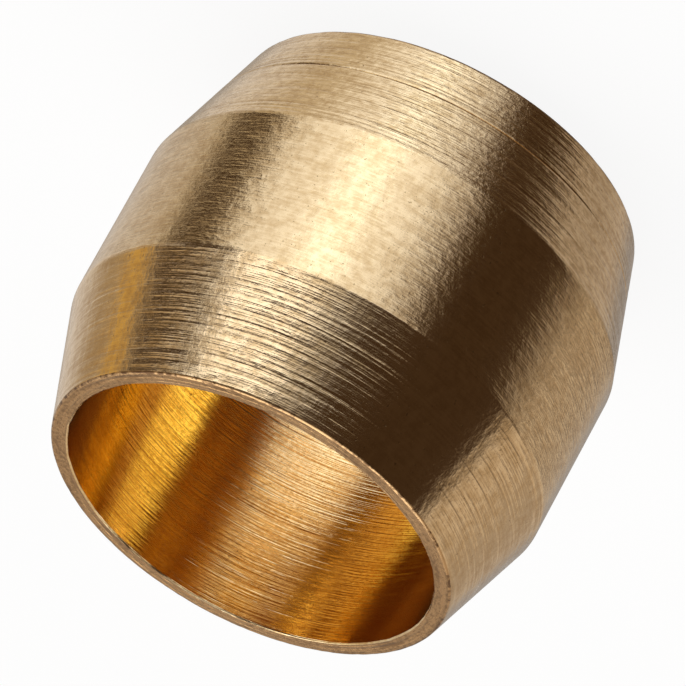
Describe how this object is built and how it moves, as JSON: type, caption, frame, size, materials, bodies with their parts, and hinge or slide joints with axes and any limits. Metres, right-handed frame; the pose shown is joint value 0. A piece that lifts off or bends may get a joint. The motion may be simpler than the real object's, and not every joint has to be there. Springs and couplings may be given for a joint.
{
  "type": "compression olive",
  "caption": "Barrel-shaped brass ring with a plain bore, a cylindrical band and a cone towards each end; wedged between nut and fitting it grips and seals a tube.",
  "frame": {"origin": "centre of the rear end face, which the olive stands on", "axes": "+Z along the bore's axis, from the rear end with the parting line to the front end"},
  "size_m": [0.0104, 0.0104, 0.0091],
  "materials": {
    "brass": "turned, unpolished"
  },
  "bodies": {
    "root": {"olive": "brass"}
  },
  "joints": []
}
